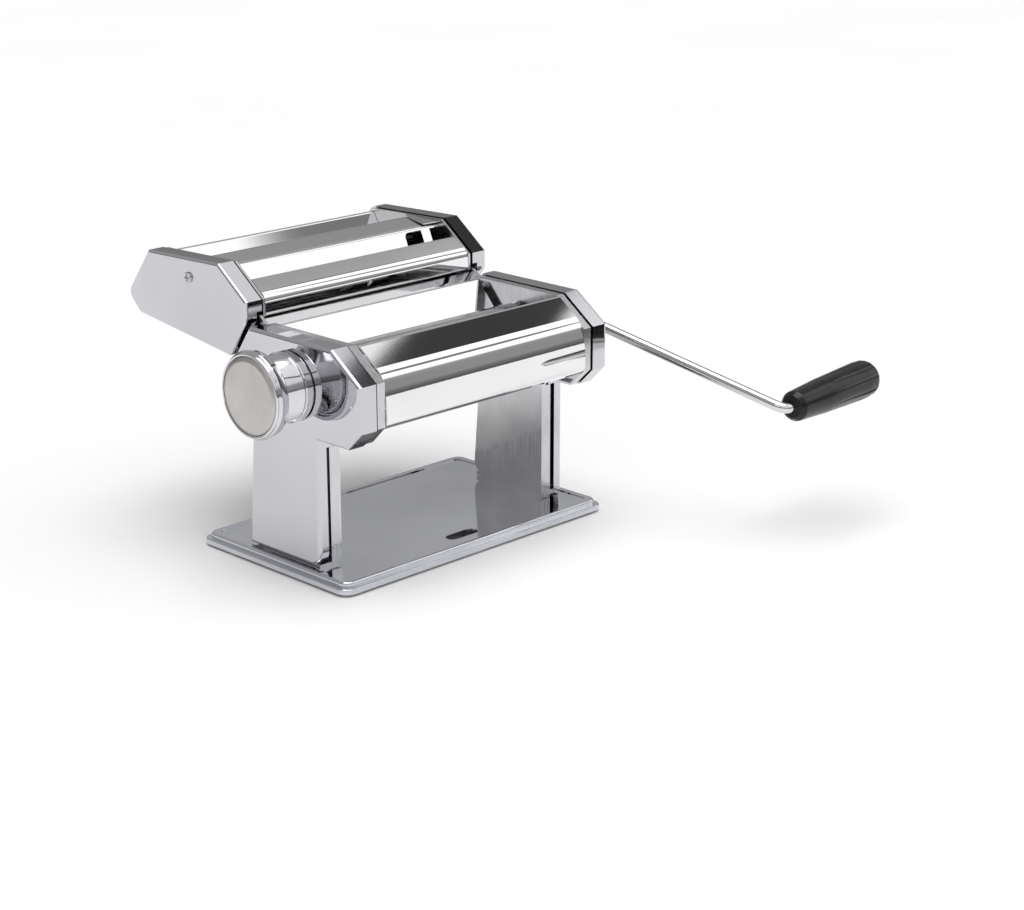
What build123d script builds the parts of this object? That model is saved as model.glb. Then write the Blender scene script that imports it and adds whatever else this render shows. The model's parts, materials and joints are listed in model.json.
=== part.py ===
"""Hand-cranked pasta roller machine with a lift-off cutter head, in millimetres.

Frame: the origin lies on the table, under the middle of the base. +X runs along the rollers towards the
crank, -Y is the front, where the sheet of dough comes out, and +Z is up.
Every piece is a solid of its own, written to parts/ under the name that a fitter would use.
"""
from build123d import *
from math import cos, radians, sin
import os

os.makedirs("parts", exist_ok=True)

# ---------------------------------------------------------------- driving dimensions
base_width = 200.0
base_depth = 122.0
foot_height = 1.5
base_top = 7.5
sheet = 1.0

plate_inner = 78.6          # |x| of the side plates' inner faces
plate_outer = 80.6          # |x| of their outer faces
cover_edge = 81.8           # |x| of the side covers' open edges
cover_face = 93.2           # |x| of the side covers' outer faces
band_edge = 75.2            # |x| where the plates' turned-in band ends
outline_inset = 0.7         # how far the side plates stand back from the covers' outline

body_top = 131.0
body_front = -67.5
leg_front = -33.0
leg_bottom = 8.4

roller_radius = 14.0
roller_half_length = 75.0
front_axis = (-42.7, 106.3)     # (y, z) of the fixed, driven roller
dial_axis = (-13.0, 105.5)      # (y, z) that the dial turns about
dial_throw = 1.3                # offset of the rear roller's axis from the dial's
dial_rest_angle = 22.5          # degrees from +Y at the widest setting
dial_travel = 135.0             # six steps of 22.5 degrees

crank_radius = 3.0
wrist = (135.6, -163.0, 75.0)   # where the crank rod bends into the handle
grip_lean = 0.06                # how far the handle leans back along the crank arm, per unit of length

cutter_lean = 35.0              # degrees from upright of the rail that the cutter slides on
rail_start = (20.8, body_top)   # (y, z) of the rail edge's top end
cutter_plate_inner = 76.2
cutter_plate_outer = 77.8
cap_edge = 79.2
cap_face = 90.0
cutter_z = 134.2                # height of the cutting rollers' axes
cutter_y = {"wide_driven": 41.5, "wide_idle": 63.5, "narrow_driven": 88.1, "narrow_idle": 110.1}
cutter_radius = 12.0
groove_radius = 8.0
cutting_half_length = 72.0

fixed_gap = 0.02                # radial gap of pieces that are fixed to each other
run_gap = 0.05                  # radial gap of a running fit

# ---------------------------------------------------------------- places worked out from them
rear_axis = (
    dial_axis[0] + dial_throw * cos(radians(dial_rest_angle)),
    dial_axis[1] + dial_throw * sin(radians(dial_rest_angle)),
)
tie_rod_places = [(-59.5, 92.5), (26.0, 108.0), (8.0, 84.0)]
standoff_places = [(-27.3, 91.2), (-27.3, 121.4), (12.0, 106.0)]
cutter_rod_places = [(74.9, 148.7), (77.0, 119.4)]
foot_places = [(x, y) for x in (-88.0, 88.0) for y in (-49.0, 49.0)]
base_screw_places = [(x, y) for x in (-86.5, 86.5) for y in (-22.0, 12.0)]
foot_plate_top = base_top + 1.7         # top of the side plates' feet
slot_top = 74.0                         # top of the slot between leg flange and cover
flange_inner = 77.1                     # |x| of the leg flange's edges
flange_outer = 84.3
leg_slot_outer = 86.8                   # |x| where the cover's rim starts beside the flange


def along_rail(travel, outward):
    """Point (y, z) at a distance down the rail edge and a distance out of the body from it."""
    lean = radians(cutter_lean)
    y = rail_start[0] + travel * sin(lean) + outward * cos(lean)
    z = rail_start[1] - travel * cos(lean) + outward * sin(lean)
    return (y, z)


def across(x):
    """Plane square to the rollers at x: its own x is +Y, its own y is +Z, its normal is +X."""
    return Plane.YZ.offset(x)


def on_axis(axis, x=0.0):
    """Plane square to the rollers at x, with its origin on an axis given as (y, z)."""
    return Plane(origin=(x, axis[0], axis[1]), x_dir=(0, 1, 0), z_dir=(1, 0, 0))


def beside_axis(axis):
    """Plane through an axis given as (y, z): its own x is +X and its own y is the radius, upwards."""
    return Plane(origin=(0, axis[0], axis[1]), x_dir=(1, 0, 0), z_dir=(0, -1, 0))


def x_axis_at(axis):
    return Axis((0, axis[0], axis[1]), (1, 0, 0))


def save(piece, name):
    piece.part.label = name
    export_step(piece.part, f"parts/{name}.step")


# ---------------------------------------------------------------- shared outlines and shapes
body_points = [
    rail_start,
    (-45.5, body_top),
    (body_front, 115.0),
    (body_front, 90.0),
    (-57.0, 79.5),
    (leg_front, 79.5),
    (leg_front, leg_bottom),
    (26.0, leg_bottom),
    (21.0, 68.0),
    (21.5, 78.0),
    (38.6, 99.0),
    along_rail(31.0, 0.0),
]

cutter_points = [
    (111.3, 158.3),
    (49.3, 160.3),
    (26.1, 142.8),
    along_rail(2.0, 5.0),
    along_rail(28.5, 5.0),
    (121.8, 120.7),
    (132.2, 131.0),
]


def body_outline(x, inset=0.0):
    """Side outline of the body, with the arch between cover and leg rounded."""
    with BuildSketch(across(x)) as outline:
        with BuildLine():
            Polyline(*body_points, close=True)
        make_face()
        arch = outline.vertices().sort_by_distance((x, leg_front, 79.5))[0]
        fillet(arch, 8.0)
        others = outline.vertices().filter_by_position(Axis.Z, 75.0, 140.0)
        others = [v for v in others if v.Y < -46.0 or v.Y > 22.0]
        fillet(others, 3.0)
        if inset:
            offset(amount=-inset, kind=Kind.INTERSECTION)
    return outline.sketch


def cutter_outline(x, inset=0.0):
    """Side outline of the cutter head."""
    with BuildSketch(across(x)) as outline:
        with BuildLine():
            Polyline(*cutter_points, close=True)
        make_face()
        back = outline.vertices().filter_by_position(Axis.Y, 120.0, 140.0)
        fillet(back, 6.0)
        rest = outline.vertices().filter_by_position(Axis.Y, 20.0, 115.0)
        fillet(rest, 2.5)
        if inset:
            offset(amount=-inset, kind=Kind.INTERSECTION)
    return outline.sketch


def turned(axis, profile_points):
    """Solid of revolution about an axis along X, from (x, radius) points."""
    with BuildPart() as piece:
        with BuildSketch(beside_axis(axis)):
            with BuildLine():
                Polyline(*profile_points, close=True)
            make_face()
        revolve(axis=x_axis_at(axis))
    return piece.part


def tube(axis, x_start, x_end, outer, inner):
    """Plain tube about an axis along X."""
    return turned(axis, [(x_start, inner), (x_start, outer), (x_end, outer), (x_end, inner)])


def gear_blank(axis, x, teeth, tip_radius, root_radius, tip_half, root_half, bore, first_angle):
    """Sketch of a gear with slim straight-flanked teeth, which keep mesh while the rollers move apart."""
    tooth = [
        (root_radius - 0.6, -root_half),
        (tip_radius - 0.5, -tip_half - 0.15),
        (tip_radius, -tip_half),
        (tip_radius, tip_half),
        (tip_radius - 0.5, tip_half + 0.15),
        (root_radius - 0.6, root_half),
    ]
    with BuildSketch(on_axis(axis, x)) as blank:
        Circle(root_radius)
        with PolarLocations(0, teeth, start_angle=first_angle):
            Polygon(*tooth, align=None)
        Circle(bore, mode=Mode.SUBTRACT)
    return blank.sketch


def bent_sheet(x_start, x_end, path, bend_radii, thickness=sheet):
    """Sheet that runs along X, bent to a path of (y, z) points with one radius for each bend."""
    with BuildPart() as piece:
        with BuildSketch(across(x_start)):
            with BuildLine():
                FilletPolyline(*path, radius=bend_radii)
            trace(line_width=thickness)
        extrude(amount=x_end - x_start)
    return piece


# ---------------------------------------------------------------- base
ledge_height = 3.0              # of the wider lower step of the tray
tray_wall = 1.6
tread_depth = 0.6               # how far the tray's top is sunk inside its rim
clamp_slot_y = -45.0
screw_radius = 1.75
screw_tip = 2.6                 # z of the base screws' lower ends
screw_head = 2.0                # height of their heads
screw_recess = 0.8              # width of the cross recess in every screw head

with BuildPart() as base_tray:
    with BuildSketch(Plane.XY.offset(foot_height)):
        RectangleRounded(base_width, base_depth, 7.0)
    extrude(amount=ledge_height)
    with BuildSketch(Plane.XY.offset(foot_height + ledge_height)):
        RectangleRounded(base_width - 5.0, base_depth - 5.0, 6.0)
    extrude(amount=base_top - foot_height - ledge_height)
    upper_edges = base_tray.faces().sort_by(Axis.Z)[-1].edges()
    fillet(upper_edges, 1.4)
    ledge_top = foot_height + ledge_height
    ledge_edges = base_tray.edges().filter_by_position(Axis.Z, ledge_top - 0.1, ledge_top + 0.1)
    fillet(ledge_edges.sort_by(lambda e: e.bounding_box().size.X + e.bounding_box().size.Y)[-2:], 0.8)
    with BuildSketch(Plane.XY.offset(base_top)):
        RectangleRounded(base_width - 14.0, base_depth - 14.0, 4.0)
    extrude(amount=-tread_depth, mode=Mode.SUBTRACT)
    with BuildSketch(Plane.XY.offset(foot_height)):
        RectangleRounded(base_width - 7.4, base_depth - 7.4, 5.0)
    extrude(amount=base_top - foot_height - tray_wall, mode=Mode.SUBTRACT)
    with BuildSketch(Plane.XY.offset(foot_height)):
        with Locations((0, clamp_slot_y)):
            SlotOverall(22.0, 8.0)
    extrude(amount=base_top, mode=Mode.SUBTRACT)
    with Locations(*[(x, y, base_top) for x, y in base_screw_places]):
        Hole(1.8, depth=8.0)
save(base_tray, "base_tray")

with BuildPart() as rubber_feet:
    with BuildSketch(Plane.XY):
        with Locations(*foot_places):
            Circle(7.0)
    extrude(amount=base_top - tray_wall, taper=-4.0)
    chamfer(rubber_feet.edges().filter_by(GeomType.CIRCLE).group_by(Axis.Z)[0], 0.5)
save(rubber_feet, "rubber_feet")

with BuildPart() as base_screws:
    for x, y in base_screw_places:
        with BuildSketch(Plane.XY.offset(foot_plate_top)):
            with Locations((x, y)):
                Circle(3.2)
        extrude(amount=screw_head)
        with BuildSketch(Plane.XY.offset(screw_tip)):
            with Locations((x, y)):
                Circle(screw_radius)
        extrude(amount=foot_plate_top - screw_tip)
    with BuildSketch(Plane.XY.offset(foot_plate_top + screw_head)):
        with Locations(*base_screw_places):
            Rectangle(4.6, screw_recess)
            Rectangle(screw_recess, 4.6)
    extrude(amount=-1.2, mode=Mode.SUBTRACT)
save(base_screws, "base_screws")


# ---------------------------------------------------------------- side plates
for side, side_name in ((-1, "left"), (1, "right")):
    inner = side * plate_inner
    with BuildPart() as side_plate:
        extrude(body_outline(inner, inset=outline_inset), amount=side * (plate_outer - plate_inner))
        # the band turned in round the body, which closes the ends of the front and rear panels
        band_width = side * (band_edge - plate_inner)
        extrude(body_outline(inner, inset=outline_inset), amount=band_width)
        extrude(body_outline(inner, inset=outline_inset + 1.2), amount=band_width, mode=Mode.SUBTRACT)
        with BuildSketch(Plane.XY.offset(leg_bottom)):
            with Locations((side * (band_edge + plate_inner) / 2, 0)):
                Rectangle(plate_inner - band_edge, 140.0)
        extrude(amount=slot_top - leg_bottom, mode=Mode.SUBTRACT)
        # the leg's front flange and the foot that is screwed to the base
        with BuildSketch(Plane.XY.offset(foot_plate_top)):
            with Locations((side * (flange_inner + flange_outer) / 2, leg_front + 1.3)):
                Rectangle(flange_outer - flange_inner, 1.2)
        extrude(amount=slot_top - foot_plate_top)
        with BuildSketch(Plane.XY.offset(base_top - tread_depth)):
            with Locations((side * (plate_inner + 6.5), -5.0)):
                Rectangle(13.0, 52.0)
        extrude(amount=foot_plate_top - base_top + tread_depth)
        with BuildSketch(Plane.XY.offset(base_top)):
            with Locations((side * (plate_inner + 1.0), -4.0)):
                Rectangle(2.0, 54.0)
        extrude(amount=leg_bottom - base_top + 1.5)
        with Locations(*[(x, y, foot_plate_top) for x, y in base_screw_places if x * side > 0]):
            Hole(1.8, depth=6.0)
        with BuildSketch(across(inner)):
            with Locations(front_axis):
                Circle(9.0 + fixed_gap if side < 0 else 11.0 + fixed_gap)
            with Locations(dial_axis):
                Circle(7.0 + fixed_gap if side < 0 else 12.5)
            with Locations(*tie_rod_places):
                Circle(2.1)
        extrude(amount=side * 2.0, mode=Mode.SUBTRACT)
        if side > 0:
            with BuildSketch(across(inner)):
                with Locations(*standoff_places):
                    Circle(1.55)
            extrude(amount=2.0, mode=Mode.SUBTRACT)
    save(side_plate, f"{side_name}_side_plate")


# two tongues stand on the side plates' rear edges; the cutter's studs slide down their open-topped slots
with BuildPart() as cutter_rails:
    for side in (-1, 1):
        foot = outline_inset - fixed_gap
        with BuildSketch(across(side * plate_inner)):
            with BuildLine():
                Polyline(along_rail(1.0, -foot), along_rail(1.0, 12.4), along_rail(29.5, 12.4),
                         along_rail(29.5, -foot), close=True)
            make_face()
            with BuildLine():
                Polyline(along_rail(-2.0, 7.1), along_rail(-2.0, 10.7), along_rail(25.9, 10.7),
                         along_rail(25.9, 7.1), close=True)
            make_face(mode=Mode.SUBTRACT)
        extrude(amount=side * (plate_outer - plate_inner))
save(cutter_rails, "cutter_rails")


# ---------------------------------------------------------------- side covers
for side, side_name in ((-1, "left"), (1, "right")):
    with BuildPart() as side_cover:
        extrude(body_outline(side * cover_edge), amount=side * (cover_face - cover_edge))
        rim = side_cover.faces().filter_by(Axis.X).sort_by(Axis.X)[-1 if side > 0 else 0].edges()
        fillet(rim, 2.0)
        hollow_depth = cover_face - cover_edge - sheet
        extrude(body_outline(side * cover_edge, inset=sheet), amount=side * hollow_depth, mode=Mode.SUBTRACT)
        # the leg is open below, and its rim stops short of the side plate
        with BuildSketch(Plane.XY.offset(leg_bottom)):
            with Locations((side * (cover_edge + hollow_depth / 2), -4.0)):
                Rectangle(hollow_depth, 56.0)
        extrude(amount=2.0, mode=Mode.SUBTRACT)
        with BuildSketch(Plane.XY.offset(leg_bottom)):
            with Locations((side * (cover_edge + leg_slot_outer) / 2, -4.0)):
                Rectangle(leg_slot_outer - cover_edge, 66.0)
        extrude(amount=slot_top + 0.4 - leg_bottom, mode=Mode.SUBTRACT)
        # the rail tongue leaves through a gap in the rear rim
        gap = [along_rail(-3.0, -2.5), along_rail(-3.0, 6.0), along_rail(32.5, 6.0), along_rail(32.5, -2.5)]
        with BuildSketch(across(side * cover_edge)):
            with BuildLine():
                Polyline(*gap, close=True)
            make_face()
        extrude(amount=side * 0.6, mode=Mode.SUBTRACT)
        with BuildSketch(across(side * (cover_edge + hollow_depth))):
            with Locations(front_axis if side > 0 else dial_axis):
                Circle(9.3 if side > 0 else 8.0)
        extrude(amount=side * 2.0, mode=Mode.SUBTRACT)
    save(side_cover, f"{side_name}_side_cover")


# ---------------------------------------------------------------- thickness dial
collar_face = -cover_face - 5.0
pin_circle = 13.5
with BuildPart() as index_collar:
    add(turned(dial_axis, [(-cover_face, 8.0), (-cover_face, 18.2), (-cover_face - 0.7, 18.2),
                           (-cover_face - 0.9, 19.2), (collar_face + 0.5, 19.2), (collar_face, 18.7),
                           (collar_face, 8.0)]))
    with BuildSketch(on_axis(dial_axis, collar_face)):
        with BuildLine():
            CenterArc((0, 0), pin_circle, dial_rest_angle, dial_travel)
        trace(line_width=3.8)
        with PolarLocations(pin_circle, 2, start_angle=dial_rest_angle, angular_range=2 * dial_travel):
            Circle(1.9)
    extrude(amount=4.2, mode=Mode.SUBTRACT)
save(index_collar, "index_collar")

knob_back = collar_face - 0.3
flange_back = knob_back - 14.6
knob_front = flange_back - 5.4
spring_seat = knob_back - 5.6
with BuildPart() as regulator_knob:
    barrel = [
        (knob_back, 4.0 + run_gap),
        (knob_back, 17.6),
        (knob_back - 0.4, 18.0),
        (flange_back + 0.8, 18.0),
        (flange_back, 18.8),
        (flange_back, 22.2),
        (flange_back - 0.8, 23.2),
        (knob_front + 0.7, 23.2),
        (knob_front + 0.2, 22.9),
        (knob_front, 22.4),
        (knob_front, 8.0),
        (spring_seat, 8.0),
        (spring_seat, 4.0 + run_gap),
    ]
    add(turned(dial_axis, barrel))
    with BuildSketch(on_axis(dial_axis, knob_back)):
        with PolarLocations(pin_circle, 1, start_angle=dial_rest_angle):
            Circle(1.5 + fixed_gap)
    extrude(amount=-3.0, mode=Mode.SUBTRACT)
save(regulator_knob, "regulator_knob")

with BuildPart() as knob_cap:
    face = [
        (knob_front, 0.0),
        (knob_front, 21.9),
        (knob_front - 0.5, 21.9),
        (knob_front - 0.6, 22.4),
        (knob_front - 1.0, 22.4),
        (knob_front - 1.8, 21.9),
        (knob_front - 2.5, 21.0),
        (knob_front - 3.0, 19.8),
        (knob_front - 3.2, 18.6),
        (knob_front - 3.5, 8.0),
        (knob_front - 3.5, 0.0),
    ]
    add(turned(dial_axis, face))
save(knob_cap, "knob_cap")

with BuildPart() as index_pin:
    with BuildSketch(on_axis(dial_axis, knob_back - 3.0)):
        with PolarLocations(pin_circle, 1, start_angle=dial_rest_angle):
            Circle(1.5)
    extrude(amount=7.0)
    chamfer(index_pin.edges().group_by(Axis.X)[-1], 0.4)
save(index_pin, "index_pin")

axle_end = knob_front + 5.4
thread_depth = 10.0             # of the retaining screw's hole in the axle's end
eccentric_start = -77.2
eccentric_end = 88.9
with BuildPart() as eccentric_axle:
    add(tube(dial_axis, axle_end, eccentric_start, 4.0, 2.0))
    with BuildSketch(on_axis(dial_axis, axle_end + thread_depth)):
        Circle(4.0)
    extrude(amount=eccentric_start - axle_end - thread_depth)
    with BuildSketch(on_axis(rear_axis, eccentric_start)):
        Circle(5.5)
    extrude(amount=eccentric_end - eccentric_start)
    with BuildSketch(on_axis(dial_axis, eccentric_end)):
        Circle(4.0)
    extrude(amount=2.7)
save(eccentric_axle, "eccentric_axle")

retaining_head = 1.8
with BuildPart() as knob_retaining_screw:
    with BuildSketch(on_axis(dial_axis, axle_end)):
        Circle(6.4)
    extrude(amount=-retaining_head)
    with BuildSketch(on_axis(dial_axis, axle_end)):
        Circle(2.0 - fixed_gap)
    extrude(amount=thread_depth - 1.0)
    with BuildSketch(on_axis(dial_axis, axle_end - retaining_head)):
        Rectangle(8.0, 1.2)
    extrude(amount=0.9, mode=Mode.SUBTRACT)
save(knob_retaining_screw, "knob_retaining_screw")

spring_wire = 0.45
spring_coils = 5
spring_run = abs(axle_end - spring_seat) - 2 * spring_wire - 0.4
with BuildPart() as knob_spring:
    spring_plane = Plane(
        origin=(axle_end + spring_wire + 0.2, dial_axis[0], dial_axis[1]), x_dir=(0, 1, 0), z_dir=(1, 0, 0)
    )
    coil = Helix(pitch=spring_run / spring_coils, height=spring_run, radius=5.4, center=spring_plane.origin,
                 direction=(1, 0, 0))
    with BuildSketch(Plane(origin=coil @ 0, z_dir=coil % 0)):
        Circle(spring_wire)
    sweep(path=coil, is_frenet=True)
save(knob_spring, "knob_spring")


# ---------------------------------------------------------------- bushes
with BuildPart() as front_roller_bushes:
    add(turned(front_axis, [(-82.4, 6.0 + run_gap), (-82.4, 9.0), (-78.6, 9.0), (-78.6, 12.0),
                            (-76.4, 12.0), (-76.4, 6.0 + run_gap)]))
    add(turned(front_axis, [(81.6, 8.0 + run_gap), (81.6, 11.0), (78.6, 11.0), (78.6, 13.0),
                            (76.4, 13.0), (76.4, 8.0 + run_gap)]))
save(front_roller_bushes, "front_roller_bushes")

with BuildPart() as dial_axle_bush:
    add(turned(dial_axis, [(-84.0, 4.0 + run_gap), (-84.0, 7.0), (-78.6, 7.0), (-78.6, 9.0),
                           (-77.4, 9.0), (-77.4, 4.0 + run_gap)]))
save(dial_axle_bush, "dial_axle_bush")

with BuildPart() as rear_roller_bushes:
    add(tube(rear_axis, -74.8, -62.0, 8.0 - run_gap, 5.5 + fixed_gap))
    add(tube(rear_axis, 62.0, 88.6, 8.0 - run_gap, 5.5 + fixed_gap))
save(rear_roller_bushes, "rear_roller_bushes")


# ---------------------------------------------------------------- rollers and their gears
def roller_tube(axis):
    """Smooth roller: a thick tube with its edges broken."""
    half = roller_half_length
    return turned(axis, [(-half, 10.5), (-half, roller_radius - 0.4), (-half + 0.4, roller_radius),
                         (half - 0.4, roller_radius), (half, roller_radius - 0.4), (half, 10.5)])


socket_mouth = 96.0
socket_floor = 70.0
socket_slot = 10.0
crank_flat = 2.0                # half the thickness of the rod's flattened tip
crank_tip = 2.6                 # radius that the tip is turned down to
with BuildPart() as front_roller:
    add(roller_tube(front_axis))
save(front_roller, "front_roller")

with BuildPart() as front_roller_ends:
    add(turned(front_axis, [(-84.0, 0), (-84.0, 5.6), (-83.6, 6.0), (-75.0, 6.0), (-75.0, 10.5 - fixed_gap),
                            (-60.0, 10.5 - fixed_gap), (-60.0, 0)]))
    add(turned(front_axis, [(60.0, 0), (60.0, 10.5 - fixed_gap), (75.0, 10.5 - fixed_gap), (75.0, 8.0),
                            (89.0, 8.0), (89.0, 7.0), (socket_mouth - 0.6, 7.0), (socket_mouth, 6.4),
                            (socket_mouth, 0)]))
    with BuildSketch(on_axis(front_axis, socket_mouth)):
        Circle(crank_radius + run_gap)
    extrude(amount=socket_floor + socket_slot - socket_mouth, mode=Mode.SUBTRACT)
    with BuildSketch(on_axis(front_axis, socket_floor)):
        Circle(crank_tip + run_gap)
        Rectangle(8.0, 2 * crank_flat + 2 * run_gap, mode=Mode.INTERSECT)
    extrude(amount=socket_slot, mode=Mode.SUBTRACT)
save(front_roller_ends, "front_roller_ends")

with BuildPart() as rear_roller:
    add(roller_tube(rear_axis))
save(rear_roller, "rear_roller")

with BuildPart() as rear_roller_ends:
    add(tube(rear_axis, -75.0, -60.0, 10.5 - fixed_gap, 8.0))
    add(turned(rear_axis, [(60.0, 8.0), (60.0, 10.5 - fixed_gap), (75.0, 10.5 - fixed_gap), (75.0, 9.5),
                           (88.6, 9.5), (88.6, 8.0)]))
save(rear_roller_ends, "rear_roller_ends")

roller_gear_x = 82.2
for name, axis, bore, first_angle in (
    ("front_roller_gear", front_axis, 8.0, 0.0),
    ("rear_roller_gear", rear_axis, 9.5, 180.0 + 15.0),
):
    with BuildPart() as roller_gear:
        extrude(gear_blank(axis, roller_gear_x, 12, 16.6, 11.4, 0.6, 1.9, bore + fixed_gap, first_angle), amount=6.0)
    save(roller_gear, name)

bearing_plate_x = 89.4
bearing_plate_thickness = 1.6
with BuildPart() as gear_bearing_plate:
    with BuildSketch(across(bearing_plate_x)):
        with Locations((-20.0, 106.0)):
            SlotCenterToCenter(64.0, 20.0)
        with Locations((-27.3, 106.3)):
            SlotCenterToCenter(30.0, 14.0, rotation=90)
        with Locations(front_axis):
            Circle(7.0 + run_gap, mode=Mode.SUBTRACT)
        with Locations(dial_axis):
            Circle(4.0 + run_gap, mode=Mode.SUBTRACT)
        with Locations(*standoff_places):
            Circle(1.6, mode=Mode.SUBTRACT)
    extrude(amount=bearing_plate_thickness)
save(gear_bearing_plate, "gear_bearing_plate")

with BuildPart() as bearing_standoffs:
    with BuildSketch(across(plate_outer)):
        with Locations(*standoff_places):
            Circle(3.0)
            Circle(1.5 + fixed_gap, mode=Mode.SUBTRACT)
    extrude(amount=bearing_plate_x - plate_outer)
save(bearing_standoffs, "bearing_standoffs")

with BuildPart() as bearing_screws:
    with BuildSketch(across(bearing_plate_x + bearing_plate_thickness)):
        with Locations(*standoff_places):
            Circle(2.8)
    extrude(amount=1.0)
    with BuildSketch(across(plate_inner)):
        with Locations(*standoff_places):
            Circle(1.5)
    extrude(amount=bearing_plate_x + bearing_plate_thickness - plate_inner)
save(bearing_screws, "bearing_screws")


# ---------------------------------------------------------------- panels, scrapers and tie rods
panel_half = 75.0
front_panel = bent_sheet(
    -panel_half,
    panel_half,
    [(-44.2, 124.0), (-46.2, 130.7), (-63.9, 118.0), (-67.4, 105.0), (-67.6, 91.6), (-62.6, 88.4)],
    (1.6, 12.0, 40.0, 4.0),
)
save(front_panel, "front_panel")

rear_panel = bent_sheet(
    -panel_half,
    panel_half,
    [(3.2, 113.0), (18.3, 129.9), along_rail(30.0, -1.9), (36.6, 99.4), (21.0, 80.4)],
    (1.6, 3.0, 3.0),
)
save(rear_panel, "rear_panel")


def blade(points):
    with BuildPart() as scraper:
        with BuildSketch(across(-plate_inner)):
            with BuildLine():
                Polyline(*points, close=True)
            make_face()
        extrude(amount=2 * plate_inner)
    return scraper


front_scraper = blade([(-50.0, 93.4), (-51.4, 94.3), (-56.6, 89.2), (-56.0, 86.4), (-54.8, 88.6)])
save(front_scraper, "front_scraper")
rear_scraper = blade([(-4.2, 93.2), (-2.9, 94.2), (4.0, 88.6), (4.0, 85.6), (2.6, 87.4)])
save(rear_scraper, "rear_scraper")

nut_height = 3.2
stud_reach = plate_outer + nut_height + 0.8     # |x| where the tie rods' threaded ends stop
with BuildPart() as tie_rods:
    with BuildSketch(across(-plate_inner)):
        with Locations(*tie_rod_places):
            Circle(3.0)
    extrude(amount=2 * plate_inner)
    with BuildSketch(across(-stud_reach)):
        with Locations(*tie_rod_places):
            Circle(2.0)
    extrude(amount=2 * stud_reach)
save(tie_rods, "tie_rods")

with BuildPart() as tie_rod_nuts:
    for x in (-plate_outer - nut_height, plate_outer):
        with BuildSketch(across(x)):
            with Locations(*tie_rod_places):
                RegularPolygon(4.0, 6)
                Circle(2.0 + fixed_gap, mode=Mode.SUBTRACT)
        extrude(amount=nut_height)
save(tie_rod_nuts, "tie_rod_nuts")


# ---------------------------------------------------------------- crank
elbow = (112.6, front_axis[0], front_axis[1])
rod_tip = socket_floor + 0.4
arm = Vector(0, wrist[1] - elbow[1], wrist[2] - elbow[2]).normalized()
grip_direction = (Vector(1, 0, 0) - arm * grip_lean).normalized()
grip_side = grip_direction.cross(Vector(0, 0, 1)).normalized()


def along_grip(distance):
    """Point on the handle's axis at a distance past the wrist."""
    return Vector(*wrist) + grip_direction * distance


def across_grip(distance):
    """Plane square to the handle at a distance past the wrist."""
    return Plane(origin=along_grip(distance), z_dir=grip_direction)


def turned_on_grip(profile_points):
    """Solid of revolution about the handle's axis, from (distance, radius) points."""
    with BuildPart() as piece:
        with BuildSketch(Plane(origin=wrist, x_dir=grip_direction, z_dir=grip_side)):
            with BuildLine():
                Polyline(*profile_points, close=True)
            make_face()
        revolve(axis=Axis(wrist, grip_direction))
    return piece.part


retainer_place = 69.0
with BuildPart() as crank_rod:
    with BuildLine():
        FilletPolyline((rod_tip, *front_axis), elbow, wrist, along_grip(retainer_place + 3.0), radius=(8.0, 6.5))
    with BuildSketch(on_axis(front_axis, rod_tip)):
        Circle(crank_radius)
    sweep()
    # the tip is turned down and flattened on two sides to drive the roller
    with BuildSketch(on_axis(front_axis, rod_tip)):
        Circle(crank_radius + 1.0)
        Circle(crank_tip, mode=Mode.SUBTRACT)
        with Locations((0, crank_flat + 2.0), (0, -crank_flat - 2.0)):
            Rectangle(8.0, 4.0)
    extrude(amount=socket_slot, mode=Mode.SUBTRACT)
save(crank_rod, "crank_rod")

with BuildPart() as handle_retainer:
    with BuildSketch(across_grip(retainer_place)):
        Circle(5.2)
        Circle(crank_radius + fixed_gap, mode=Mode.SUBTRACT)
    extrude(amount=1.5)
save(handle_retainer, "handle_retainer")

grip_start = 5.8
grip_end = 83.4
grip_bore = crank_radius + 0.1
plug_radius = 6.2
with BuildPart() as handle_grip:
    add(turned_on_grip([
        (grip_start, grip_bore),
        (grip_start, 5.8),
        (grip_start + 0.5, 6.8),
        (grip_start + 2.4, 8.3),
        (grip_start + 3.4, 8.7),
        (grip_start + 28.0, 10.1),
        (grip_start + 66.0, 11.1),
        (grip_end - 5.6, 10.9),
        (grip_end - 3.4, 10.3),
        (grip_end - 1.4, 9.1),
        (grip_end - 0.2, 7.4),
        (grip_end, plug_radius),
        (retainer_place - 0.6, plug_radius),
        (retainer_place - 0.6, grip_bore),
    ]))
    # flutes along the thick part give the fingers hold
    with BuildSketch(across_grip(grip_start + 30.0)):
        with PolarLocations(12.5, 10, start_angle=18.0):
            Circle(2.4)
    extrude(amount=44.0, mode=Mode.SUBTRACT)
save(handle_grip, "handle_grip")

with BuildPart() as handle_end_plug:
    add(turned_on_grip([
        (grip_end - 4.0, 0),
        (grip_end - 4.0, plug_radius - fixed_gap),
        (grip_end, plug_radius - fixed_gap),
        (grip_end + 0.4, 4.4),
        (grip_end + 0.5, 0),
    ]))
save(handle_end_plug, "handle_end_plug")


# ---------------------------------------------------------------- cutter head: plates, caps and panels
stud_places = [along_rail(12.0, 8.9), along_rail(24.0, 8.9)]
driven_axes = [(cutter_y["wide_driven"], cutter_z), (cutter_y["narrow_driven"], cutter_z)]
all_cutter_axes = [(y, cutter_z) for y in cutter_y.values()]

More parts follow.
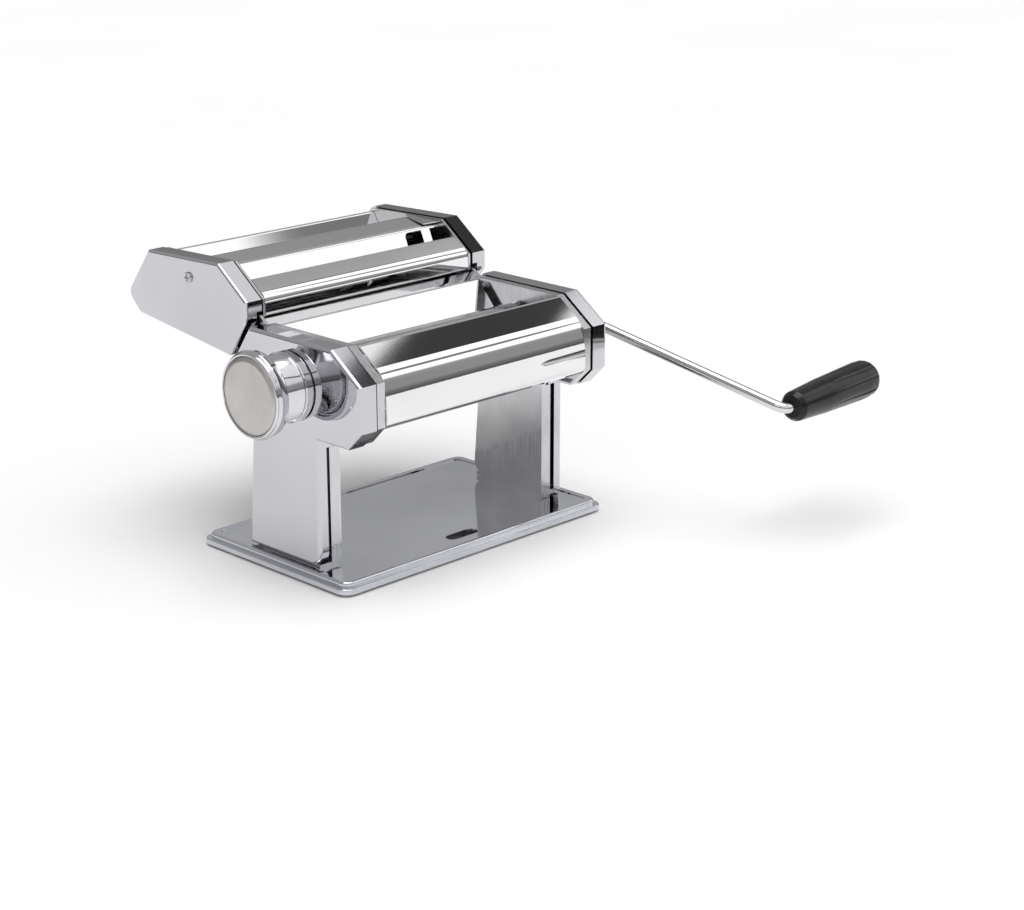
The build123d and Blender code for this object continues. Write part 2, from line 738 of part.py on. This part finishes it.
for side, side_name in ((-1, "left"), (1, "right")):
    inner = side * cutter_plate_inner
    thickness = cutter_plate_outer - cutter_plate_inner
    with BuildPart() as cutter_plate:
        extrude(cutter_outline(inner, inset=0.6), amount=side * thickness)
        with BuildSketch(across(inner)):
            with Locations(*all_cutter_axes):
                Circle(7.0 + fixed_gap)
            with Locations(*cutter_rod_places):
                Circle(1.8)
            with Locations(*stud_places):
                Circle(1.62)
        extrude(amount=side * thickness, mode=Mode.SUBTRACT)
    save(cutter_plate, f"cutter_{side_name}_plate")

for side, side_name in ((-1, "left"), (1, "right")):
    with BuildPart() as cutter_cap:
        extrude(cutter_outline(side * cap_edge), amount=side * (cap_face - cap_edge))
        rim = cutter_cap.faces().filter_by(Axis.X).sort_by(Axis.X)[-1 if side > 0 else 0].edges()
        fillet(rim, 1.5)
        hollow_depth = cap_face - cap_edge - sheet
        extrude(cutter_outline(side * cap_edge, inset=sheet), amount=side * hollow_depth, mode=Mode.SUBTRACT)
        # the body's rail tongue passes through a gap in the front rim
        gap = [along_rail(-1.5, 4.0), along_rail(-1.5, 13.2), along_rail(33.0, 13.2), along_rail(33.0, 4.0)]
        with BuildSketch(across(side * cap_edge)):
            with BuildLine():
                Polyline(*gap, close=True)
            make_face()
        extrude(amount=side * 3.6, mode=Mode.SUBTRACT)
        with BuildSketch(across(side * (cap_edge + hollow_depth))):
            with Locations(cutter_rod_places[0]):
                Circle(1.8)
            if side > 0:
                with Locations(*driven_axes):
                    Circle(6.0)
        extrude(amount=side * 2.0, mode=Mode.SUBTRACT)
    save(cutter_cap, f"cutter_{side_name}_cap")

cap_screw_head = 1.3
cap_screw_radius = 1.7
with BuildPart() as cutter_cap_screws:
    for side in (-1, 1):
        with BuildSketch(on_axis(cutter_rod_places[0], side * cap_face)):
            Circle(3.0)
        extrude(amount=side * cap_screw_head)
        chamfer(cutter_cap_screws.faces().sort_by(Axis.X)[-1 if side > 0 else 0].edges(), 0.4)
        with BuildSketch(on_axis(cutter_rod_places[0], side * cap_face)):
            Circle(cap_screw_radius)
        extrude(amount=-side * 18.0)
        with BuildSketch(on_axis(cutter_rod_places[0], side * (cap_face + cap_screw_head))):
            Rectangle(4.2, screw_recess)
            Rectangle(screw_recess, 4.2)
        extrude(amount=-side * 0.8, mode=Mode.SUBTRACT)
save(cutter_cap_screws, "cutter_cap_screws")

with BuildPart() as cutter_tie_rods:
    with BuildSketch(across(-cutter_plate_inner)):
        with Locations(*cutter_rod_places):
            Circle(2.6)
    extrude(amount=2 * cutter_plate_inner)
    for side in (-1, 1):
        with BuildSketch(across(side * cutter_plate_inner)):
            with Locations(cutter_rod_places[0]):
                Circle(cap_screw_radius + fixed_gap)
        extrude(amount=-side * 8.0, mode=Mode.SUBTRACT)
save(cutter_tie_rods, "cutter_tie_rods")

with BuildPart() as cutter_guide_studs:
    for side in (-1, 1):
        with BuildSketch(across(side * cutter_plate_inner)):
            with Locations(*stud_places):
                Circle(1.6)
        extrude(amount=side * 4.6)
        with BuildSketch(across(side * (plate_outer + 0.2))):
            with Locations(*stud_places):
                Circle(3.0)
        extrude(amount=side * 1.2)
save(cutter_guide_studs, "cutter_guide_studs")

cutter_half = 76.0
cutter_front_panel = bent_sheet(
    -cutter_half,
    cutter_half,
    [(44.6, 147.9), (38.2, 151.2), (27.4, 143.8), (26.9, 133.2), along_rail(9.0, 5.6), along_rail(16.0, 5.5)],
    (2.0, 7.0, 6.0, 4.0),
    thickness=0.8,
)
save(cutter_front_panel, "cutter_front_panel")

notch_start = 48.2
notch_top = 155.4
notch_depth = 16.0
tab_centre = 64.7
tab_width = 6.6
with BuildPart() as cutter_centre_cover:
    add(bent_sheet(
        -cutter_half,
        cutter_half,
        [(48.2, 148.0), (52.2, 157.0), (76.0, 157.6), (88.0, 153.0), (91.6, 147.6)],
        (2.4, 8.0, 3.0),
        thickness=0.8,
    ).part)
    # the front face is cut away at the right end, but for a tab that hangs in the gap
    with BuildSketch(Plane.XZ.offset(-46.0)):
        with Locations(((notch_start + cutter_half) / 2 + 2.0, notch_top - notch_depth / 2)):
            RectangleRounded(cutter_half - notch_start + 4.0, notch_depth, 2.8)
        with Locations((cutter_half - 5.0, notch_top - notch_depth / 2)):
            Rectangle(12.0, notch_depth)
        with Locations(((notch_start + cutter_half) / 2, notch_top - 10.0)):
            Rectangle(cutter_half - notch_start, 12.0)
        with Locations((tab_centre, notch_top - notch_depth / 2)):
            Rectangle(tab_width, notch_depth + 2.0, mode=Mode.SUBTRACT)
    extrude(amount=-10.0, mode=Mode.SUBTRACT)
save(cutter_centre_cover, "cutter_centre_cover")

with BuildPart() as cutter_end_shelf:
    shelf_edge = cutter_plate_inner - fixed_gap
    with BuildSketch(Plane.XY.offset(158.1)):
        with BuildLine():
            Polyline((63.8, 51.6), (shelf_edge, 50.4), (shelf_edge, 80.0), (72.1, 75.0), close=True)
        make_face()
    extrude(amount=0.6)
save(cutter_end_shelf, "cutter_end_shelf")

cutter_rear_panel = bent_sheet(
    -cutter_half,
    cutter_half,
    [(103.4, 147.6), (109.6, 156.8), (129.8, 131.4), (121.8, 123.0)],
    (1.6, 5.0),
    thickness=0.8,
)
save(cutter_rear_panel, "cutter_rear_panel")


# ---------------------------------------------------------------- cutter head: rollers, gears, bushes and combs
cutter_socket_mouth = 88.2
cutter_socket_round = 12.4      # depth of its round part, which stays within the journal
journal_end = 79.0              # |x| of the journals' left ends, just outside the bushes


def cutting_roller(axis, pitch, first_land, driven):
    """Grooved roller, turned from one profile: discs of half a pitch with grooves between them."""
    land = pitch / 2 - 0.1
    profile = [(-journal_end, 0), (-journal_end, 5.0), (-75.4, 5.0), (-75.4, groove_radius)]
    x = first_land
    while x < cutting_half_length - 0.01:
        profile += [(x + 0.05, groove_radius), (x + 0.05, cutter_radius)]
        profile += [(x + 0.05 + land, cutter_radius), (x + 0.05 + land, groove_radius)]
        x += pitch
    profile += [(75.4, groove_radius), (75.4, 5.0), (cutter_socket_mouth, 5.0), (cutter_socket_mouth, 0)]
    with BuildPart() as roller:
        add(turned(axis, profile))
        if driven:
            with BuildSketch(on_axis(axis, cutter_socket_mouth)):
                Circle(crank_radius + run_gap)
            extrude(amount=-cutter_socket_round, mode=Mode.SUBTRACT)
            with BuildSketch(on_axis(axis, cutter_socket_mouth - cutter_socket_round)):
                Circle(crank_tip + run_gap)
                Rectangle(8.0, 2 * crank_flat + 2 * run_gap, mode=Mode.INTERSECT)
            extrude(amount=-socket_slot, mode=Mode.SUBTRACT)
    return roller


for cut_name, pitch in (("wide", 12.0), ("narrow", 4.0)):
    for role, first_land, first_angle in (
        ("driven", -cutting_half_length, 0.0),
        ("idle", -cutting_half_length + pitch / 2, 180.0 + 180.0 / 14),
    ):
        axis = (cutter_y[f"{cut_name}_{role}"], cutter_z)
        save(cutting_roller(axis, pitch, first_land, role == "driven"), f"{cut_name}_cutter_{role}")
        with BuildPart() as cutter_gear:
            blank = gear_blank(axis, 83.2, 14, 12.1, 9.4, 0.6, 1.5, 5.0 + fixed_gap, first_angle)
            extrude(blank, amount=4.2)
        save(cutter_gear, f"{cut_name}_{role}_gear")

with BuildPart() as cutter_bushes:
    for side in (-1, 1):
        with BuildSketch(across(side * (cutter_plate_inner - 0.4))):
            with Locations(*all_cutter_axes):
                Circle(7.0)
                Circle(5.0 + run_gap, mode=Mode.SUBTRACT)
        extrude(amount=side * 2.6)
save(cutter_bushes, "cutter_bushes")

comb_bottom = 119.8


def comb(bar_y, pitch, first_groove):
    """Comb under one cutting roller: a bar across the head and fingers that reach up into the grooves."""
    finger_width = pitch / 2 - 0.6
    with BuildPart() as piece:
        with BuildSketch(Plane.XY.offset(comb_bottom)):
            with Locations((0, bar_y)):
                Rectangle(2 * cutter_plate_inner, 3.0)
        extrude(amount=1.6)
        with BuildSketch(Plane.XY.offset(comb_bottom + 0.8)):
            x = first_groove + pitch / 4
            while x < cutting_half_length:
                with Locations((x, bar_y)):
                    Rectangle(finger_width, 1.2)
                x += pitch
        extrude(amount=4.4)
    return piece.part


for cut_name, pitch in (("wide", 12.0), ("narrow", 4.0)):
    with BuildPart() as combs:
        add(comb(cutter_y[f"{cut_name}_driven"] - 1.0, pitch, -cutting_half_length + pitch / 2))
        add(comb(cutter_y[f"{cut_name}_idle"] + 1.0, pitch, -cutting_half_length))
    save(combs, f"{cut_name}_cutter_combs")
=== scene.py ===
"""Looks of the pasta roller machine: finishes, a finely turned knob, studio and camera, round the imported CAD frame.

Everything is in metres in the CAD's own frame: origin on the table under the base, +X towards the crank,
-Y the front, +Z up. Only the knob's turned profile is in millimetres.
"""

import json
import math

import bpy
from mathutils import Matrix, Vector


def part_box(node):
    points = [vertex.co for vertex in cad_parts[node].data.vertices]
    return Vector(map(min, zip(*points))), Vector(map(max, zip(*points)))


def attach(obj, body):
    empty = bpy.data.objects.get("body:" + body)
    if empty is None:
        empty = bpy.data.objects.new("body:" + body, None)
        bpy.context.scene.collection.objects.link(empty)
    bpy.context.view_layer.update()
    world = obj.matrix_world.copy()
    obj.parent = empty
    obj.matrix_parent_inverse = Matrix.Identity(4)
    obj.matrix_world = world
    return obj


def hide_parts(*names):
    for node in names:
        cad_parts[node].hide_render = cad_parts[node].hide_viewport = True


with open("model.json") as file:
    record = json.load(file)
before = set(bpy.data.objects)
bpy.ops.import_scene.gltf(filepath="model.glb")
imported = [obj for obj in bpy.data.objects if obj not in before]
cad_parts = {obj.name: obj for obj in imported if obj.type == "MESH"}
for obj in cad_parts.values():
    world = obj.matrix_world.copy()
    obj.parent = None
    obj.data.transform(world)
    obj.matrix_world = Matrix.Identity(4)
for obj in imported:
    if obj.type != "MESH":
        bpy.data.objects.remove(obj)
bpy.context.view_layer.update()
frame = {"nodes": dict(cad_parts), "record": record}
nodes = frame["nodes"]

MM = 0.001

# ---------------------------------------------------------------- driving values
# Grain directions: a noise that is stretched along an axis draws lines that run along it, and one that is
# stretched along the other two axes draws lines that run round it.
ALONG_X = (0.02, 1, 1)
ALONG_Z = (1, 1, 0.02)
AROUND_X = (1, 0.02, 0.02)
NO_GRAIN = (1, 1, 1)

# Most of a noise texture's values lie between these two.
NOISE_LOW = 0.35
NOISE_HIGH = 0.65

# Pieces that don't show the finish of the slot that the record gives them.
OWN_FINISH = {
    "left_side_cover": "cover_chrome",
    "right_side_cover": "cover_chrome",
    "cutter_left_cap": "cover_chrome",
    "cutter_right_cap": "cover_chrome",
    "regulator_knob": "knob_chrome",
    "index_collar": "knob_chrome",
}

# The knob's profile in millimetres: distances out from its back face, and radii.
AXLE_HOLE_RADIUS = 4.2
BARREL_RADIUS = 18.0
FLANGE_BACK = 14.6
FLANGE_RADIUS = 23.2
GROOVE_BACK = 20.0
GROOVE_FRONT = 20.4
GROOVE_RADIUS = 22.0
RIM_RADIUS = 22.7
RIM_FRONT = 22.5
FACE_RADIUS = 21.3

# The knob's face in millimetres: distances out from the face piece's own back.
FACE_BACK = 1.0
FACE_EDGE = 3.0
FACE_MIDDLE = 3.5
FACE_EDGE_ROUNDING = 1.3
FACE_RINGS = range(18, 1, -2)

ARC_STEPS = 8
ARC_LEAD = 0.12
TURNED_SIDES = 192

# Studio. Angles are in degrees, and directions are (azimuth, elevation): azimuth from +X towards +Y, elevation
# from the floor up. The flag and the card are dark up to their own angle and clear beyond their edge angle.
FLOOR_SIZE = 40.0
FLOOR_GLOW = 0.9
SUN_STRENGTH = 1.6
SUN_SPREAD = 50.0
BACK_HALF_TURN = 1.0
SOFTBOX = (-30.0, 37.0)
FLAG_START = (-1.0, 46.5)
FLAG_END = (-2.5, 47.9)
FLAG_HALF_WIDTH = 1.15
FLAG_EDGE = 1.6
FLAG_DARKNESS = 0.05
CARD = (-34.0, 36.4)
CARD_RADIUS = 2.9
CARD_EDGE = 4.8
CARD_DARKNESS = 0.16

CAMERA_PLACE = (-0.8178, -0.8908, 0.4331)
CAMERA_DOWN = 17.9
CAMERA_TURN = -45.4
CAMERA_LENS = 78.9
CAMERA_SENSOR = 36.0


def height(elevation):
    """Place on the dome's scale, from 0 straight down to 1 straight up, of an elevation in degrees."""
    return 0.5 + 0.5 * math.sin(math.radians(elevation))


def off_centre(angle):
    """Place on the same scale of a direction that is an angle in degrees away from the scale's own axis."""
    return 0.5 + 0.5 * math.cos(math.radians(angle))


# Brightness of the dome by its height, in the half before the machine (-Y) and in the half behind it (+Y).
FRONT_DOME = [(0.0, FLOOR_GLOW), (height(-1.0), FLOOR_GLOW), (height(0.0), 0.10), (height(2.5), 0.14),
              (height(5.0), 0.30), (height(12.0), 0.33), (height(17.0), 0.38), (height(22.0), 0.85),
              (height(60.0), 1.05), (1.0, 1.0)]
BACK_DOME = [(0.0, FLOOR_GLOW), (height(-1.0), FLOOR_GLOW), (height(0.0), 0.04), (height(4.0), 0.06),
             (height(10.0), 0.25), (height(14.0), 0.29), (height(20.0), 0.46), (height(40.0), 0.40),
             (height(58.0), 0.40), (height(68.0), 1.0), (1.0, 1.0)]
# Share of the back half by how far a direction turns to +Y, and brightness of the softbox by the angle from its
# middle.
BACK_HALF = [(0.0, 0.0), (height(-0.5), 0.0), (height(2.5), 1.0), (1.0, 1.0)]
SOFTBOX_FALL = [(0.0, 0.0), (off_centre(27.0), 0.0), (off_centre(21.0), 1.3), (1.0, 1.3)]


# ---------------------------------------------------------------- node trees
class Tree:
    """A node tree with short ways to add nodes and to link them."""

    def __init__(self, tree):
        self.tree = tree

    def node(self, kind, **values):
        made = self.tree.nodes.new(kind)
        for key, value in values.items():
            setattr(made, key, value)
        return made

    def link(self, output, target):
        self.tree.links.new(output, target)

    def spread(self, value, low, high, start=NOISE_LOW, stop=NOISE_HIGH, curve="LINEAR"):
        """Number that goes from low, where the value is start, to high, where it is stop."""
        made = self.node("ShaderNodeMapRange", interpolation_type=curve)
        for key, number in (("From Min", start), ("From Max", stop), ("To Min", low), ("To Max", high)):
            made.inputs[key].default_value = number
        self.link(value, made.inputs["Value"])
        return made.outputs["Result"]


class Shader(Tree):
    """A metal or plastic material with the textures that the finishes below share."""

    def __init__(self, name):
        self.material = bpy.data.materials.new(name)
        self.material.use_nodes = True
        super().__init__(self.material.node_tree)
        self.surface = self.tree.nodes["Principled BSDF"]
        self.place = self.node("ShaderNodeTexCoord").outputs["Object"]

    def noise(self, scale, detail=2.0, roughness=0.5, grain=NO_GRAIN):
        """Noise over the piece, with its scale in features per metre."""
        mapping = self.node("ShaderNodeMapping")
        mapping.inputs["Scale"].default_value = grain
        self.link(self.place, mapping.inputs["Vector"])
        texture = self.node("ShaderNodeTexNoise")
        texture.inputs["Scale"].default_value = scale
        texture.inputs["Detail"].default_value = detail
        texture.inputs["Roughness"].default_value = roughness
        self.link(mapping.outputs["Vector"], texture.inputs["Vector"])
        return texture.outputs["Fac"]

    def calculate(self, operation, first, second):
        made = self.node("ShaderNodeMath", operation=operation)
        for socket, value in zip(made.inputs, (first, second)):
            if isinstance(value, float):
                socket.default_value = value
            else:
                self.link(value, socket)
        return made.outputs[0]

    def bumped(self, height_map, strength, distance, under=None):
        """Normals bumped by a height map, on top of normals that are bumped already if they are given."""
        made = self.node("ShaderNodeBump")
        made.inputs["Strength"].default_value = strength
        made.inputs["Distance"].default_value = distance
        self.link(height_map, made.inputs["Height"])
        if under is not None:
            self.link(under, made.inputs["Normal"])
        return made.outputs["Normal"]

    def colour(self, value, dark, light):
        """Colours the surface from dark to light over a noise value."""
        made = self.node("ShaderNodeValToRGB")
        ends = made.color_ramp.elements
        ends[0].position, ends[1].position = NOISE_LOW, NOISE_HIGH
        ends[0].color, ends[1].color = (*dark, 1), (*light, 1)
        self.link(value, made.inputs["Fac"])
        self.link(made.outputs["Color"], self.surface.inputs["Base Color"])


# ---------------------------------------------------------------- finishes
FINISHES = {}


def polished_chrome(name, dark, light, smooth, worn, waviness=1.0, brush=NO_GRAIN, brush_strength=0.01):
    """Mirror-bright plated sheet: slight panel waves, hairline polishing marks and faint handling smudges."""
    s = Shader(name)
    s.surface.inputs["Metallic"].default_value = 1.0
    s.colour(s.noise(scale=9.0, detail=3.0), dark, light)
    smudges = s.noise(scale=30.0, detail=4.0, roughness=0.55)
    hairlines = s.noise(scale=1400.0, grain=brush)
    roughness = s.calculate("ADD", s.spread(smudges, smooth, worn, start=0.50, stop=0.80),
                            s.spread(hairlines, 0.0, 0.012))
    s.link(roughness, s.surface.inputs["Roughness"])
    waves = s.bumped(s.noise(scale=11.0, detail=0.0), strength=0.06 * waviness, distance=0.004)
    marks = s.bumped(hairlines, strength=brush_strength, distance=0.0002, under=waves)
    s.link(marks, s.surface.inputs["Normal"])
    FINISHES[name] = s.material


def brushed_metal(name, dark, light, roughness, grain=ALONG_X, depth=0.06):
    """Ground or drawn metal with its grain along one axis."""
    s = Shader(name)
    s.surface.inputs["Metallic"].default_value = 1.0
    lines = s.noise(scale=2200.0, detail=3.0, grain=grain)
    blotches = s.noise(scale=60.0, detail=4.0)
    both = s.calculate("ADD", s.calculate("MULTIPLY", lines, 0.5), s.calculate("MULTIPLY", blotches, 0.5))
    s.colour(both, dark, light)
    s.link(s.spread(lines, roughness - 0.06, roughness + 0.08), s.surface.inputs["Roughness"])
    s.link(s.bumped(lines, strength=depth, distance=0.0002), s.surface.inputs["Normal"])
    FINISHES[name] = s.material


def moulded_plastic(name, dark, light, roughness, gloss=0.5):
    """Moulded plastic or rubber with a fine spark texture and faint rub marks."""
    s = Shader(name)
    s.surface.inputs["Specular IOR Level"].default_value = gloss
    s.colour(s.noise(scale=120.0, detail=4.0), dark, light)
    grain = s.noise(scale=1800.0)
    rubbed = s.noise(scale=40.0, detail=5.0)
    total = s.calculate("ADD", s.spread(rubbed, roughness - 0.05, roughness + 0.07), s.spread(grain, 0.0, 0.05))
    s.link(total, s.surface.inputs["Roughness"])
    s.link(s.bumped(grain, strength=0.08, distance=0.0002), s.surface.inputs["Normal"])
    FINISHES[name] = s.material


def make_finishes():
    polished_chrome("mirror_chrome", (0.80, 0.80, 0.81), (0.86, 0.86, 0.87), smooth=0.025, worn=0.05)
    polished_chrome("cover_chrome", (0.57, 0.56, 0.59), (0.63, 0.62, 0.65), smooth=0.04, worn=0.09)
    polished_chrome("base_chrome", (0.60, 0.61, 0.65), (0.70, 0.71, 0.75), smooth=0.05, worn=0.12,
                    brush=ALONG_X, brush_strength=0.04)
    polished_chrome("knob_chrome", (0.62, 0.62, 0.64), (0.70, 0.70, 0.72), smooth=0.07, worn=0.10,
                    waviness=0.3, brush_strength=0.002)
    polished_chrome("crank_chrome", (0.60, 0.59, 0.58), (0.70, 0.69, 0.68), smooth=0.06, worn=0.14)
    brushed_metal("plate_steel", (0.52, 0.52, 0.54), (0.66, 0.66, 0.67), roughness=0.17, grain=ALONG_Z, depth=0.002)
    brushed_metal("satin_knob_face", (0.50, 0.475, 0.46), (0.60, 0.575, 0.56), roughness=0.36,
                  grain=ALONG_Z, depth=0.02)
    brushed_metal("roller_steel", (0.50, 0.50, 0.52), (0.64, 0.64, 0.65), roughness=0.16, grain=AROUND_X)
    brushed_metal("gear_steel", (0.36, 0.36, 0.37), (0.52, 0.52, 0.53), roughness=0.32)
    brushed_metal("zinc_steel", (0.50, 0.50, 0.52), (0.64, 0.64, 0.65), roughness=0.26)
    brushed_metal("spring_steel", (0.40, 0.40, 0.42), (0.52, 0.52, 0.54), roughness=0.28)
    moulded_plastic("black_plastic", (0.003, 0.003, 0.004), (0.007, 0.007, 0.008), roughness=0.20, gloss=0.36)
    moulded_plastic("black_rubber", (0.020, 0.020, 0.020), (0.035, 0.035, 0.034), roughness=0.70)
    moulded_plastic("bearing_plastic", (0.74, 0.72, 0.66), (0.82, 0.80, 0.75), roughness=0.42)


def paint_nodes():
    """Gives every CAD piece the finish of its slot, or its own one."""
    for part in frame["record"]["subparts"]:
        node = part["node"]
        materials = nodes[node].data.materials
        materials.clear()
        materials.append(FINISHES[OWN_FINISH.get(node, part["material_slot"])])


# ---------------------------------------------------------------- finely turned knob
def rounded_profile(corners):
    """Points (x, radius) through corners (x, radius, rounding): an arc at each, with a short lead on both sides.

    The leads keep the smooth shading of an arc off the flat that follows it.
    """
    points = [Vector(corners[0][:2])]
    for before, corner, after in zip(corners, corners[1:], corners[2:]):
        here, rounding = Vector(corner[:2]), corner[2]
        if rounding == 0:
            points.append(here)
            continue
        back = (Vector(before[:2]) - here).normalized()
        on = (Vector(after[:2]) - here).normalized()
        half = back.angle(on) / 2
        reach = rounding / math.tan(half)
        centre = here + (back + on).normalized() * rounding / math.sin(half)
        start, stop = here + back * reach - centre, here + on * reach - centre
        points.append(here + back * (reach + ARC_LEAD))
        for step in range(ARC_STEPS + 1):
            points.append(centre + start.slerp(stop, step / ARC_STEPS))
        points.append(here + on * (reach + ARC_LEAD))
    points.append(Vector(corners[-1][:2]))
    return points


def turned_mesh(name, node, corners, closed_front):
    """Mesh of revolution about a CAD node's own axis, with x measured in mm outwards from its back face."""
    low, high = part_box(node)
    middle = (low + high) / 2
    rings = rounded_profile(corners)
    vertices = []
    for out, radius in rings:
        for step in range(TURNED_SIDES):
            angle = 2 * math.pi * step / TURNED_SIDES
            vertices.append((high.x - out * MM, middle.y + radius * MM * math.cos(angle),
                             middle.z + radius * MM * math.sin(angle)))
    faces = []
    for ring in range(len(rings) - 1):
        first, second = ring * TURNED_SIDES, (ring + 1) * TURNED_SIDES
        for step in range(TURNED_SIDES):
            following = (step + 1) % TURNED_SIDES
            faces.append((first + step, first + following, second + following, second + step))
    if closed_front:
        last = (len(rings) - 1) * TURNED_SIDES
        faces.append(tuple(range(last, last + TURNED_SIDES)))
    mesh = bpy.data.meshes.new(name)
    mesh.from_pydata(vertices, [], faces)
    mesh.update()
    for face in mesh.polygons:
        face.use_smooth = True
    return mesh


def turned_piece(name, body, node, finish, corners, closed_front=False):
    """Shows a turned mesh in place of a CAD node."""
    mesh = turned_mesh(name, node, corners, closed_front)
    mesh.materials.append(FINISHES[finish])
    piece = bpy.data.objects.new(name, mesh)
    bpy.context.scene.collection.objects.link(piece)
    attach(piece, body)
    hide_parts(node)


def turned_knob():
    """The knob with its rounded edges and rim groove, and its slightly domed satin face."""
    turned_piece("turned_knob", "knob", "regulator_knob", "knob_chrome", [
        (0.0, AXLE_HOLE_RADIUS, 0),
        (0.0, BARREL_RADIUS, 0.5),
        (FLANGE_BACK, BARREL_RADIUS, 0.7),
        (FLANGE_BACK, FLANGE_RADIUS, 1.0),
        (GROOVE_BACK, FLANGE_RADIUS, 0.4),
        (GROOVE_BACK, GROOVE_RADIUS, 0.1),
        (GROOVE_FRONT, GROOVE_RADIUS, 0.1),
        (GROOVE_FRONT, RIM_RADIUS, 0.2),
        (RIM_FRONT, RIM_RADIUS, 0.8),
        (RIM_FRONT, FACE_RADIUS, 0),
    ])
    dome = [(FACE_MIDDLE - (FACE_MIDDLE - FACE_EDGE) * (radius / FACE_RADIUS) ** 2, radius, 0)
            for radius in FACE_RINGS]
    turned_piece("turned_knob_face", "knob", "knob_cap", "satin_knob_face", [
        (FACE_BACK, FACE_RADIUS, 0),
        (FACE_EDGE, FACE_RADIUS, FACE_EDGE_ROUNDING),
        *dome,
    ], closed_front=True)


# ---------------------------------------------------------------- studio
def pale_floor():
    bpy.ops.mesh.primitive_plane_add(size=FLOOR_SIZE, location=(0, 0, 0))
    floor = bpy.context.active_object
    floor.name = "floor"
    s = Shader("pale_floor")
    s.colour(s.noise(scale=3.0), (0.86, 0.86, 0.86), (0.88, 0.88, 0.88))
    s.surface.inputs["Roughness"].default_value = 0.6
    floor.data.materials.append(s.material)


def direction_of(azimuth, elevation):
    az, el = math.radians(azimuth), math.radians(elevation)
    return Vector((math.cos(el) * math.cos(az), math.cos(el) * math.sin(az), math.sin(el)))


class Sky(Tree):
    """World shader whose parts depend on the direction that is looked in."""

    def __init__(self, name):
        world = bpy.data.worlds.new(name)
        bpy.context.scene.world = world
        world.use_nodes = True
        super().__init__(world.node_tree)
        self.direction = self.node("ShaderNodeTexCoord").outputs["Generated"]

    def combined(self, operation, first, second):
        made = self.node("ShaderNodeVectorMath", operation=operation)
        self.link(first, made.inputs[0])
        self.link(second, made.inputs[1])
        return made.outputs["Vector"]

    def towards(self, vector):
        """How far the direction points along a vector, from -1 (against it) to 1 (with it)."""
        made = self.node("ShaderNodeVectorMath", operation="DOT_PRODUCT")
        self.link(self.direction, made.inputs[0])
        made.inputs[1].default_value = Vector(vector).normalized()
        return made.outputs["Value"]

    def over(self, vector, stops):
        """Brightness by stops (place, value) on a scale from 0, against a vector, to 1, with it."""
        place = self.node("ShaderNodeMath", operation="MULTIPLY_ADD")
        self.link(self.towards(vector), place.inputs[0])
        place.inputs[1].default_value = 0.5
        place.inputs[2].default_value = 0.5
        made = self.node("ShaderNodeValToRGB")
        self.link(place.outputs[0], made.inputs["Fac"])
        elements = made.color_ramp.elements
        while len(elements) < len(stops):
            elements.new(0.5)
        for element, (position, value) in zip(elements, stops):
            element.position = position
            element.color = (value, value, value, 1)
        return made.outputs["Color"]

    def blended(self, factor, first, second):
        made = self.node("ShaderNodeMix", data_type="VECTOR")
        self.link(factor, made.inputs[0])
        self.link(first, made.inputs[4])
        self.link(second, made.inputs[5])
        return made.outputs[1]

    def shade(self, value, dark_end, clear_end, darkness):
        """Factor that goes smoothly from darkness at dark_end to 1 at clear_end."""
        return self.spread(value, darkness, 1.0, dark_end, clear_end, curve="SMOOTHSTEP")


def studio_world():
    """A white dome over a grey horizon, with a softbox at the front right, a black flag and a small dark card.

    The flag is a thin ring round the whole dome. It makes the dark band that polished slopes show between white
    ones. The card darkens one end of the cutter's rear panel.
    """
    sky = Sky("studio")
    up = (0, 0, 1)
    back = (-math.sin(math.radians(BACK_HALF_TURN)), 1, 0)
    softbox = sky.over(direction_of(*SOFTBOX), SOFTBOX_FALL)
    front = sky.combined("MAXIMUM", sky.over(up, FRONT_DOME), softbox)
    dome = sky.blended(sky.over(back, BACK_HALF), front, sky.over(up, BACK_DOME))

    off_flag = sky.node("ShaderNodeMath", operation="ABSOLUTE")
    across_flag = direction_of(*FLAG_START).cross(direction_of(*FLAG_END))
    sky.link(sky.towards(across_flag), off_flag.inputs[0])
    flag = sky.shade(off_flag.outputs[0], math.sin(math.radians(FLAG_HALF_WIDTH)),
                     math.sin(math.radians(FLAG_EDGE)), FLAG_DARKNESS)
    card = sky.shade(sky.towards(direction_of(*CARD)), math.cos(math.radians(CARD_RADIUS)),
                     math.cos(math.radians(CARD_EDGE)), CARD_DARKNESS)

    light = sky.combined("MULTIPLY", sky.combined("MULTIPLY", dome, flag), card)
    background = sky.tree.nodes["Background"]
    sky.link(light, background.inputs["Color"])
    background.inputs["Strength"].default_value = 1.0


def overhead_sun():
    """A broad sun straight above, for the soft shadow under the machine."""
    lamp = bpy.data.lights.new("overhead", "SUN")
    lamp.energy = SUN_STRENGTH
    lamp.angle = math.radians(SUN_SPREAD)
    holder = bpy.data.objects.new("overhead", lamp)
    bpy.context.scene.collection.objects.link(holder)


def set_camera():
    lens = bpy.data.cameras.new("camera")
    lens.sensor_width = CAMERA_SENSOR
    lens.lens = CAMERA_LENS
    camera = bpy.data.objects.new("camera", lens)
    bpy.context.scene.collection.objects.link(camera)
    camera.location = CAMERA_PLACE
    camera.rotation_euler = (math.radians(90.0 - CAMERA_DOWN), 0.0, math.radians(CAMERA_TURN))
    bpy.context.scene.camera = camera
    bpy.context.scene.view_settings.view_transform = "Standard"


make_finishes()
paint_nodes()
turned_knob()
pale_floor()
studio_world()
overhead_sun()
set_camera()
